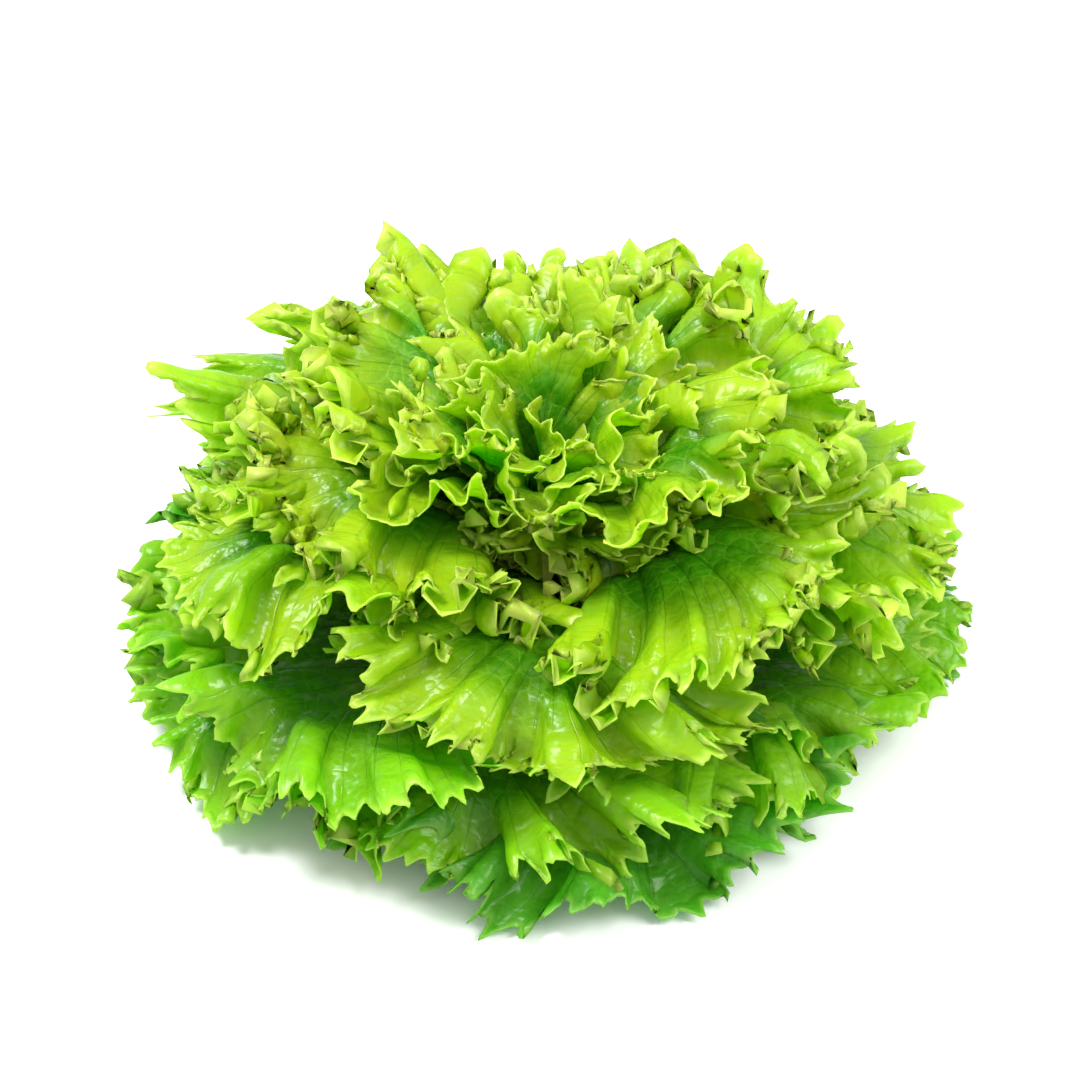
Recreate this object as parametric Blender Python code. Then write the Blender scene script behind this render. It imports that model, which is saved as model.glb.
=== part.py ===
"""Batavia lettuce: a cut stem, low outer leaves and the crowded head of frilled leaves above them.

Metres, +Z up. The origin is the middle of the stem's cut face, which lies on the surface below.
"""

import math

import bmesh
import bpy
import numpy as np

MM = 0.001
SEED = 41

# The head: leaves are numbered from the lowest outside to the heart
LEAVES = 40
OUTER_LEAVES = 13
LEAF_TURN = math.radians(137.508)
FIRST_LEAF = math.radians(15)

# The stem, a short butt that narrows upwards
STEM_HEIGHT = 46 * MM
STEM_FOOT_RADIUS = 15 * MM
STEM_TOP_RADIUS = 8 * MM
STEM_SIDES = 20
GAP = 0.3 * MM
SAME_POINT = 0.001 * MM

# The crowded leaf bases are one solid mass, a collar under the head and a core inside it, as
# heights and radii in millimetres, from which the blades stand out
CORE_SIDES = 24
COLLAR_PROFILE = ((3, 19), (9, 70), (28, 76), (12.5, 19))
CORE_PROFILE = ((15, 19), (30, 66), (46, 78), (60, 73), (74, 58), (80, 36), (70, 8))

# The head leaves lie on this shallow cone and the outer leaves under it
DIVIDE_HEIGHT = 13.8 * MM
DIVIDE_RADIUS = 19 * MM
DIVIDE_SLOPE = 0.28
DIVIDE_MARGIN = 1.1 * MM
GROUND_MARGIN = 0.5 * MM
LEAF_STEP = 0.6 * MM
PRESS = 6 * MM

# How a leaf changes from the outside (age 0) to the heart (age 1), in millimetres and degrees
AGES = (0.0, 0.16, 0.32, 0.33, 0.50, 0.68, 0.85, 1.0)
LENGTH = (129, 129, 130, 136, 131, 112, 82, 42)
HALF_WIDTH = (72, 72, 72, 72, 66, 56, 42, 24)
RISE = (8, 22, 36, 48, 57, 69, 82, 97)
FALL = (-10, -16, -20, -32, -16, 8, 32, 90)
ROOT_HEIGHT = (6, 8, 10, 19, 26, 34, 42, 49)
ROOT_RADIUS = (16.5, 16, 15.5, 14.5, 13, 10, 7, 3)
CUP = (4, 5, 6, 7, 9, 13, 19, 30)
RIB_WIDTH = (16, 16, 16, 14, 12, 10, 8, 6)
FLARE = (0, 2, 3, 5, 7, 8, 7, 3)
RUFFLE = (7, 7, 8, 8, 9, 9, 8, 5)

# The head opens at the front, where the leaves between these ages are shorter
OPEN_FROM = 0.45
OPEN_TO = 0.86
OPEN_SHARE = 0.42

# The blade
BLADE = 0.9 * MM
RIB_THICKNESS = 2.0 * MM
WAVE_SPACING = 56 * MM
LOBE_REACH = 4.2 * MM
FINE_COLUMNS = 240
FINE_ROWS = 20
CLOSE_COLUMNS = 6
SPINE_STOPS = (1.0, 0.5, 0.0)
ROW_DEPTHS = (0.6, 1.0)


def ease(low, high, x):
    """Smooth step from 0 at low to 1 at high."""
    t = np.clip((x - low) / (high - low), 0, 1)
    return t * t * (3 - 2 * t)


def drift(rng, m, size, terms=5, slow=0.8):
    """A slow wandering value along the margin, from a few seeded sines."""
    total = np.zeros_like(m)
    for term in range(1, terms + 1):
        total += rng.normal() * np.sin(slow * math.pi * term * m + rng.uniform(0, 2 * math.pi)) / term
    return size * total


def opening(age, azimuth):
    """How much the head opens at a leaf: 1 for middle leaves at the front, 0 elsewhere."""
    facing = ease(0.35, 0.9, math.cos(azimuth + math.pi / 2))
    return float(facing * ease(OPEN_FROM, OPEN_FROM + 0.1, age) * (1 - ease(OPEN_TO - 0.1, OPEN_TO, age)))


class Leaf:
    """One leaf: its place on the stem and its own size, bend and waviness."""

    def __init__(self, index):
        rng = np.random.default_rng(SEED * 1000 + index)
        self.index = index
        self.outer = index < OUTER_LEAVES
        age = (index + rng.uniform(-1, 1) * (0.3 if self.outer else 1.6)) / (LEAVES - 1)
        age = min(max(age, 0), AGES[2]) if self.outer else min(max(age, AGES[3]), 1)

        def aged(table):
            return float(np.interp(age, AGES, table))

        loose = float(ease(0.7, 0.9, age))
        self.azimuth = FIRST_LEAF + index * LEAF_TURN + math.radians(rng.uniform(-6, 6) * (1 + 4 * loose))
        shorter = OPEN_SHARE * opening(age, self.azimuth)
        self.length = aged(LENGTH) * rng.uniform(0.94 if age < 0.48 else 0.86, 1.05) * MM * (1 - shorter)
        self.half_width = aged(HALF_WIDTH) * rng.uniform(0.92, 1.08) * MM * (1 - 0.6 * shorter)
        self.rise = math.radians(aged(RISE) + rng.uniform(-4, 4))
        self.fall = math.radians(aged(FALL) + rng.uniform(-1, 1) * (7 if age < 0.42 else 16))
        self.root_height = aged(ROOT_HEIGHT) * MM
        self.root_radius = aged(ROOT_RADIUS) * MM
        self.cup = aged(CUP) * rng.uniform(0.7, 1.2)
        self.rib = aged(RIB_WIDTH) * MM
        self.flare = aged(FLARE) * rng.uniform(0.6, 1.3) * MM
        self.yaw = math.radians(rng.uniform(-9, 9))
        self.roll = math.radians(rng.uniform(-20, 20) * (0.3 + 0.7 * age + 0.8 * loose))
        self.sway = rng.uniform(-0.22, 0.22)
        self.ruffle = aged(RUFFLE) * MM


def outline(leaf, p):
    """Place of a margin point, from the base corner (p = 0) to the tip (p = 1)."""
    along = leaf.length * np.sin(math.pi / 2 * p)
    across = leaf.rib / 2 * (1 - p) + leaf.half_width * np.sin(math.pi * p**0.82)
    return along, across


def flat_place(leaf, m, d):
    """Place in the flat leaf: m runs round the margin, d from the midrib out along a side vein."""
    p = 1 - np.abs(m)
    edge_x, edge_y = outline(leaf, p)
    rib_x = 0.6 * leaf.length * p**1.3
    turn_x = rib_x + 0.62 * (edge_x - rib_x)
    turn_y = 0.3 * edge_y
    x = (1 - d) ** 2 * rib_x + 2 * d * (1 - d) * turn_x + d * d * edge_x
    y = 2 * d * (1 - d) * turn_y + d * d * edge_y
    return x, y * np.sign(m)


def bend(leaf, x, y):
    """Carries flat points to the head: arched along the midrib, cupped across, rolled and turned."""
    s = np.linspace(0, 1.2 * leaf.length, 201)
    angle = leaf.rise + (leaf.fall - leaf.rise) * (s / leaf.length) ** 1.25
    middle = (angle[1:] + angle[:-1]) / 2
    out = np.concatenate([[0], np.cumsum(np.cos(middle) * s[1])])
    up = np.concatenate([[0], np.cumsum(np.sin(middle) * s[1])])
    slope = np.interp(x, s, angle)
    share = np.clip(x / leaf.length, 0, 1)
    curve = np.maximum(leaf.cup * (1 - 0.75 * share), 0.001)
    across = np.sin(curve * y) / curve
    lift = (1 - np.cos(curve * y)) / curve
    roll = leaf.roll * share
    across, lift = (
        across * np.cos(roll) - lift * np.sin(roll),
        across * np.sin(roll) + lift * np.cos(roll),
    )
    across = across + leaf.sway * leaf.length * 0.5 * (x / leaf.length) ** 2
    radial = np.interp(x, s, out) - lift * np.sin(slope)
    height = np.interp(x, s, up) + lift * np.cos(slope) + leaf.root_height
    cos, sin = math.cos(leaf.yaw), math.sin(leaf.yaw)
    radial, across = radial * cos - across * sin + leaf.root_radius, radial * sin + across * cos
    cos, sin = math.cos(leaf.azimuth), math.sin(leaf.azimuth)
    return np.stack([radial * cos - across * sin, radial * sin + across * cos, height], axis=-1)


def grid_directions(points):
    """Unit normals of a grid of points and unit directions along its rows."""
    along = np.gradient(points, axis=1)
    normal = np.cross(np.gradient(points, axis=0), along)
    normal /= np.maximum(np.linalg.norm(normal, axis=-1, keepdims=True), 1e-12)
    along /= np.maximum(np.linalg.norm(along, axis=-1, keepdims=True), 1e-12)
    return normal, along


def pressed(above):
    """Clearance that a point keeps when it is pressed on a face, from its height above that face."""
    return np.where(above > PRESS, above, PRESS * np.exp(np.minimum(above / PRESS, 1) - 1))


def rest(leaf, points):
    """Lays head leaves on the dividing cone, outer leaves under it, and those on the ground."""
    height = points[..., 2]
    radius = np.hypot(points[..., 0], points[..., 1])
    cone = DIVIDE_HEIGHT + DIVIDE_SLOPE * (radius - DIVIDE_RADIUS)
    if leaf.outer:
        roof = cone - DIVIDE_MARGIN - LEAF_STEP * (OUTER_LEAVES - 1 - leaf.index)
        height = roof - pressed(roof - height)
        ground = GROUND_MARGIN + LEAF_STEP * leaf.index
    else:
        ground = cone + DIVIDE_MARGIN + LEAF_STEP * min(leaf.index - OUTER_LEAVES, 12)
    points[..., 2] = ground + pressed(height - ground)
    return points


def leaf_grid(leaf):
    """The leaf's middle surface as a fine grid, with the phase of its ruffle along the margin."""
    rng = np.random.default_rng(SEED * 7000 + leaf.index)
    m = np.linspace(-1, 1, FINE_COLUMNS + 1)
    margins, depths = np.meshgrid(m, np.linspace(0, 1, FINE_ROWS + 1))
    spacing = WAVE_SPACING * rng.uniform(0.85, 1.2)
    waves = 2 * (leaf.length + leaf.half_width) / spacing
    phase = math.pi * waves * m + drift(rng, m, 1.6) + rng.uniform(0, 2 * math.pi)
    gain = np.clip(1 + drift(rng, m, 0.4, terms=8, slow=2.1), 0.4, 1.6)
    wander = drift(rng, m, 4.0, terms=7, slow=1.7) * MM
    calm = ease(1.0, 0.78, np.abs(m))
    lobes = LOBE_REACH * gain * (1 - 2 * np.abs(np.cos(phase))) * ease(0.35, 1, depths)
    edge_x, edge_y = outline(leaf, 1 - np.abs(m))
    ray = np.hypot(edge_x - 0.6 * leaf.length * (1 - np.abs(m)) ** 1.3, edge_y) + 12 * MM
    reach = depths + (ease(0.5, 1, depths) * wander + lobes) * calm / ray
    points = bend(leaf, *flat_place(leaf, margins, reach))
    normal, along = grid_directions(points)
    points = points - normal * (leaf.flare * ease(0.3, 1, depths) ** 1.5)[..., None]
    normal, along = grid_directions(points)
    wave = leaf.ruffle * gain * ease(0.2, 1, depths) ** 1.25 * calm
    points = points + normal * (wave * np.sin(phase))[..., None]
    points = points - along * (0.3 * wave * np.sin(2 * phase))[..., None]
    return rest(leaf, points), phase


def stops_of(phase):
    """Columns for the middle row of a blade and, with crests, troughs and notches, for its margin."""
    half = FINE_COLUMNS // 2
    half_turns = np.floor(phase / math.pi + 0.5)
    tops = [0]
    for column in range(CLOSE_COLUMNS, FINE_COLUMNS - CLOSE_COLUMNS):
        turned_over = half_turns[column] != half_turns[column - 1]
        if turned_over and column - tops[-1] > CLOSE_COLUMNS and abs(column - half) > CLOSE_COLUMNS:
            tops.append(column)
    tops = sorted([*tops, half, FINE_COLUMNS])
    middle = tops[tops.index(half) % 2 :: 2]
    margin = [0]
    for start, end in zip(tops, tops[1:]):
        if end - start > 2 * CLOSE_COLUMNS:
            margin.append((start + end) // 2)
        margin.append(end)
    return sorted({0, FINE_COLUMNS, *middle}), margin


def zip_rows(low, high, low_columns, high_columns):
    """Triangles between two rows of vertices whose columns differ, in the order of their columns."""
    faces = []
    i = j = 0
    while i < len(low) - 1 or j < len(high) - 1:
        at_low_end = i == len(low) - 1
        at_high_end = j == len(high) - 1
        if at_high_end or (not at_low_end and low_columns[i + 1] <= high_columns[j + 1]):
            faces.append((low[i], low[i + 1], high[j]))
            i += 1
        else:
            faces.append((low[i], high[j + 1], high[j]))
            j += 1
    return faces


def leaf_mesh(leaf):
    """Points and triangles of one leaf as a closed blade."""
    grid, phase = leaf_grid(leaf)
    middle, margin = stops_of(phase)
    half = FINE_COLUMNS // 2
    spine_half = [round(half * (1 - stop)) for stop in SPINE_STOPS]
    spine = spine_half + [FINE_COLUMNS - c for c in reversed(spine_half[:-1])]
    points = [grid[0, column] for column in spine_half]
    depths = [0.0] * len(points)
    spine_ids = list(range(len(spine_half)))
    rows = [spine_ids + spine_ids[-2::-1]]
    columns = [spine, middle, margin]
    for depth, stops in zip(ROW_DEPTHS, (middle, margin)):
        first = len(points)
        points += [grid[round(depth * FINE_ROWS), column] for column in stops]
        depths += [depth] * len(stops)
        rows.append(list(range(first, first + len(stops))))
    sheet = []
    for number in range(len(ROW_DEPTHS)):
        sheet += zip_rows(rows[number], rows[number + 1], columns[number], columns[number + 1])
    rim = [row[0] for row in rows[1:]] + rows[-1][1:-1] + [row[-1] for row in reversed(rows)]
    return thicken(leaf, np.array(points), np.array(depths), sheet, rim)


def thicken(leaf, points, depths, sheet, rim):
    """Gives the sheet its thickness, more along the rib, with both faces split alike."""
    corners = points[np.array(sheet)]
    face_normals = np.cross(corners[:, 1] - corners[:, 0], corners[:, 2] - corners[:, 0])
    normals = np.zeros_like(points)
    for corner in range(3):
        np.add.at(normals, np.array(sheet)[:, corner], face_normals)
    normals /= np.linalg.norm(normals, axis=1, keepdims=True)
    reach = np.linalg.norm(points - points[0], axis=1) / leaf.length
    rib = RIB_THICKNESS * (1 - np.clip(reach, 0, 1)) * np.where(depths == 0, 1, 0)
    upper = points + normals * BLADE / 2
    lower = points - normals * (BLADE / 2 + rib)[:, None]
    count = len(points)
    faces = list(sheet)
    faces += [(c + count, b + count, a + count) for a, b, c in sheet]
    for a, b in zip(rim, rim[1:] + rim[:1]):
        faces += [(b, a, a + count), (b, a + count, b + count)]
    return np.concatenate([upper, lower]), faces


def new_object(name, points, faces):
    """A mesh object with its faces pointing out."""
    mesh = bpy.data.meshes.new(name)
    mesh.from_pydata([tuple(p) for p in points], [], faces)
    shaped = bmesh.new()
    shaped.from_mesh(mesh)
    bmesh.ops.recalc_face_normals(shaped, faces=shaped.faces)
    shaped.to_mesh(mesh)
    shaped.free()
    obj = bpy.data.objects.new(name, mesh)
    bpy.context.scene.collection.objects.link(obj)
    return obj


def turned(name, profile, sides):
    """A closed solid turned round Z from (height, radius) pairs, lowest first."""
    angles = [2 * math.pi * side / sides for side in range(sides)]
    points = [(r * math.cos(a), r * math.sin(a), z) for z, r in profile for a in angles]
    faces = [tuple(range(sides)), tuple(range((len(profile) - 1) * sides, len(profile) * sides))]
    for ring in range(len(profile) - 1):
        for side in range(sides):
            here, there = ring * sides + side, ring * sides + (side + 1) % sides
            faces.append((here, there, there + sides, here + sides))
    return new_object(name, points, faces)


def in_metres(profile):
    """A profile given in millimetres, in metres."""
    return tuple((height * MM, radius * MM) for height, radius in profile)


def stem_profile():
    """The stem's side, from the cut face up."""
    return ((0, STEM_FOOT_RADIUS), (STEM_HEIGHT, STEM_TOP_RADIUS))


def socket_profile():
    """The side of the stem's socket, a gap wider than the stem and open below."""
    foot = STEM_FOOT_RADIUS + GAP
    return ((-STEM_FOOT_RADIUS, foot), (0, foot), (STEM_HEIGHT + GAP, STEM_TOP_RADIUS + GAP))


def apply_boolean(obj, operation, operand):
    """Applies one Boolean with an object or a collection and removes the objects it used."""
    modifier = obj.modifiers.new(operation.title(), "BOOLEAN")
    modifier.operation = operation
    modifier.solver = "MANIFOLD"
    if isinstance(operand, bpy.types.Collection):
        modifier.operand_type = "COLLECTION"
        modifier.collection = operand
        used = list(operand.objects)
    else:
        modifier.object = operand
        used = [operand]
    graph = bpy.context.evaluated_depsgraph_get()
    joined = bpy.data.meshes.new_from_object(obj.evaluated_get(graph))
    obj.modifiers.clear()
    obj.data = joined
    for other in used:
        bpy.data.objects.remove(other)


def shells_of(shaped):
    """The faces of each separate shell, with its signed volume."""
    left = set(shaped.faces)
    shells = []
    while left:
        stack = [left.pop()]
        shell = []
        while stack:
            face = stack.pop()
            shell.append(face)
            for edge in face.edges:
                for other in edge.link_faces:
                    if other in left:
                        left.remove(other)
                        stack.append(other)
        volume = sum(f.verts[0].co.dot(f.verts[1].co.cross(f.verts[2].co)) for f in shell) / 6
        shells.append((volume, shell))
    return shells


def keep_one_body(obj):
    """Triangulates, fills sealed hollows and drops loose scraps, so that one shell is left."""
    shaped = bmesh.new()
    shaped.from_mesh(obj.data)
    bmesh.ops.triangulate(shaped, faces=shaped.faces)
    bmesh.ops.remove_doubles(shaped, verts=shaped.verts, dist=SAME_POINT)
    shells = shells_of(shaped)
    largest = max(volume for volume, shell in shells)
    scraps = [face for volume, shell in shells if volume < largest for face in shell]
    bmesh.ops.delete(shaped, geom=scraps, context="FACES")
    shaped.to_mesh(obj.data)
    shaped.free()


def leaf_node(name, base, leaves):
    """Fuses leaves to the collar or core that they grow from and cuts the stem's socket in it."""
    gathered = bpy.data.collections.new(name + "_repeats")
    bpy.context.scene.collection.children.link(gathered)
    for leaf in leaves:
        blade = new_object(f"{name}_{leaf.index}", *leaf_mesh(leaf))
        bpy.context.scene.collection.objects.unlink(blade)
        gathered.objects.link(blade)
    apply_boolean(base, "UNION", gathered)
    bpy.data.collections.remove(gathered)
    apply_boolean(base, "DIFFERENCE", turned("socket", socket_profile(), STEM_SIDES))
    keep_one_body(base)
    base.name = name
    return base


def principled(name, colour, roughness):
    """A plain material."""
    material = bpy.data.materials.new(name)
    material.use_nodes = True
    shader = material.node_tree.nodes["Principled BSDF"]
    shader.inputs["Base Color"].default_value = (*colour, 1)
    shader.inputs["Roughness"].default_value = roughness
    shader.inputs["Metallic"].default_value = 0.0
    return material


def main():
    for obj in list(bpy.data.objects):
        bpy.data.objects.remove(obj)
    leaves = [Leaf(index) for index in range(LEAVES)]
    stem = turned("stem", stem_profile(), STEM_SIDES)
    stem.data.materials.append(principled("stem_cream", (0.62, 0.6, 0.36), 0.5))
    collar = turned("collar", in_metres(COLLAR_PROFILE), CORE_SIDES)
    outer = leaf_node("outer_leaves", collar, leaves[:OUTER_LEAVES])
    outer.data.materials.clear()
    outer.data.materials.append(principled("leaf_dark_green", (0.09, 0.3, 0.02), 0.4))
    core = turned("core", in_metres(CORE_PROFILE), CORE_SIDES)
    head = leaf_node("head_leaves", core, leaves[OUTER_LEAVES:])
    head.data.materials.clear()
    head.data.materials.append(principled("leaf_yellow_green", (0.25, 0.46, 0.02), 0.4))


main()
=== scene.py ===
"""Looks of a batavia lettuce head: every leaf as a frilled and veined blade, and the cut stem.

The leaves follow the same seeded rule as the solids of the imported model, with finer waves and
teeth. All sizes are in metres, +Z is up and the origin is the middle of the stem's cut face.
"""

import logging
import math
from collections.abc import Sequence
from dataclasses import dataclass, replace
from enum import Enum

import bpy
import numpy as np
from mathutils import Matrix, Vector


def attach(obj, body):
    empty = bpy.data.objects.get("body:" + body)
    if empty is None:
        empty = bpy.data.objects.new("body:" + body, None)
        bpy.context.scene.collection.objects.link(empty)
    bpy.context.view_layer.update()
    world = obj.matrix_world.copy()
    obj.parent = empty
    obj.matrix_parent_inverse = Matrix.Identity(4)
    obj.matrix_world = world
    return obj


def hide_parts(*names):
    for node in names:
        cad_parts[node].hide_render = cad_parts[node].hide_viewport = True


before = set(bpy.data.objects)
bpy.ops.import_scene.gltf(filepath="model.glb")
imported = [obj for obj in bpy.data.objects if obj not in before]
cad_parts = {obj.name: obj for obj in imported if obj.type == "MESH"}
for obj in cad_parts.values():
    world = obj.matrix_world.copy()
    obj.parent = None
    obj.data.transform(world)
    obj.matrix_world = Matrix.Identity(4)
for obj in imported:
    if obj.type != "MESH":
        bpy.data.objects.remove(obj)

LOG = logging.getLogger("lettuce")
MM = 0.001
TURN = 2 * math.pi
DRAWN_TURN = 6.28
SEED = 41
PLACE_SEEDS = 1000
WAVE_SEEDS = 7000
BODY = "root"
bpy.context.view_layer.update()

HEAD_WIDTH = 0.30
PHOTO_PIXELS = 1080
HEAD_PIXELS = 862

ARC_STEPS = 200
MARGIN_STEPS = 2000
FLAT_MAP_SCALE = 10
COLUMN_WIDTH = 4.8 * MM
COLUMN_STEP = 12
LEAST_COLUMNS = 24

Colour = tuple[float, float, float]
Socket = bpy.types.NodeSocket
Array = np.ndarray


def ease(low: float, high: float, x: Array) -> Array:
    """Smooth step.

    Args:
        low: where the step begins, at 0.
        high: where it ends, at 1.
        x: the values to step.

    Returns:
        The stepped values.
    """
    t = np.clip((x - low) / (high - low), 0, 1)
    return t * t * (3 - 2 * t)


def drift(
    rng: np.random.Generator, m: Array, size: float, terms: int = 5, slow: float = 0.8
) -> Array:
    """A slow wandering value along a leaf's margin.

    Args:
        rng: the leaf's own seeded draws.
        m: places along the margin, from -1 to 1.
        size: how far the value wanders.
        terms: how many sines are added up.
        slow: turns of the slowest sine.

    Returns:
        One value for each place.
    """
    total = np.zeros_like(m)
    for term in range(1, terms + 1):
        height = rng.normal()
        start = rng.uniform(0, TURN)
        total += height * np.sin(slow * math.pi * term * m + start) / term
    return size * total


class Tone(Enum):
    """Which part of the head a leaf belongs to."""

    OUTER = "outer"
    MIDDLE = "middle"
    HEAD = "head"
    HEART = "heart"


@dataclass(frozen=True)
class Growth:
    """How leaves change from the outside of the head, age 0, to its heart, age 1.

    Lengths are in millimetres and angles in degrees, one value for each age.
    """

    leaves: int = 40
    outer_leaves: int = 13
    heart_leaves: int = 8
    lowest_leaves: int = 4
    turn: float = math.radians(137.508)
    first: float = math.radians(15)
    outer_jitter: float = 0.3
    head_jitter: float = 1.6
    outer_until: float = 0.32
    head_from: float = 0.33
    heart_from: float = 0.6
    small_from: float = 0.72
    small_span: float = 0.28
    ages: Sequence[float] = (0.0, 0.16, 0.32, 0.33, 0.50, 0.68, 0.85, 1.0)
    length: Sequence[float] = (129, 129, 130, 136, 131, 112, 82, 42)
    half_width: Sequence[float] = (72, 72, 72, 72, 66, 56, 42, 24)
    rise: Sequence[float] = (8, 22, 36, 48, 57, 69, 82, 97)
    fall: Sequence[float] = (-10, -16, -20, -32, -16, 8, 32, 90)
    root_height: Sequence[float] = (6, 8, 10, 19, 26, 34, 42, 49)
    root_radius: Sequence[float] = (16.5, 16, 15.5, 14.5, 13, 10, 7, 3)
    cup: Sequence[float] = (4, 5, 6, 7, 9, 13, 19, 30)
    rib_width: Sequence[float] = (16, 16, 16, 14, 12, 10, 8, 6)
    flare: Sequence[float] = (0, 2, 3, 5, 7, 8, 7, 3)
    ruffle: Sequence[float] = (7, 7, 8, 8, 9, 9, 8, 5)
    fold: Sequence[float] = (2, 2.5, 3, 3.5, 4, 4.5, 3.5, 1.5)
    curl: Sequence[float] = (3.2, 3.4, 3.8, 4.2, 4.8, 4.8, 4.0, 2.8)
    crimp: Sequence[float] = (1.1, 1.3, 1.5, 1.7, 1.8, 1.6, 1.2, 0.8)
    open_from: float = 0.45
    open_to: float = 0.86
    open_share: float = 0.42
    # opening above which a heart-age leaf sits in shade and takes the head finish, painted shade
    open_shaded: float = 0.4

    @staticmethod
    def facing(azimuth: float) -> float:
        """How much a leaf points to the front, from 0 to 1."""
        return float(ease(0.35, 0.9, np.array(math.cos(azimuth + math.pi / 2))))

    def opening(self, age: float, azimuth: float) -> float:
        """How much the head opens at a leaf: 1 for the middle leaves at the front, 0 elsewhere."""
        middle = ease(self.open_from, self.open_from + 0.1, np.array(age))
        heart = ease(self.open_to - 0.1, self.open_to, np.array(age))
        return self.facing(azimuth) * float(middle * (1 - heart))

    def at(self, table: str, age: float) -> float:
        """A table's value at an age."""
        return float(np.interp(age, self.ages, getattr(self, table)))


@dataclass(frozen=True)
class Bed:
    """The shallow cone between outer and head leaves, and how leaves press on it and the ground."""

    height: float = 13.8 * MM
    radius: float = 19 * MM
    slope: float = 0.28
    margin: float = 0.6 * MM
    ground: float = 1.3 * MM
    step: float = 0.6 * MM
    press: float = 6 * MM
    free_from: float = 116 * MM
    free_slope: float = 0.8

    def pressed(self, above: Array) -> Array:
        """Clearance that points keep when pressed on a face, from their height above it."""
        squeezed = self.press * np.exp(np.minimum(above / self.press, 1) - 1)
        return np.where(above > self.press, above, squeezed)


GROWTH = Growth()
BED = Bed()


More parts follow.
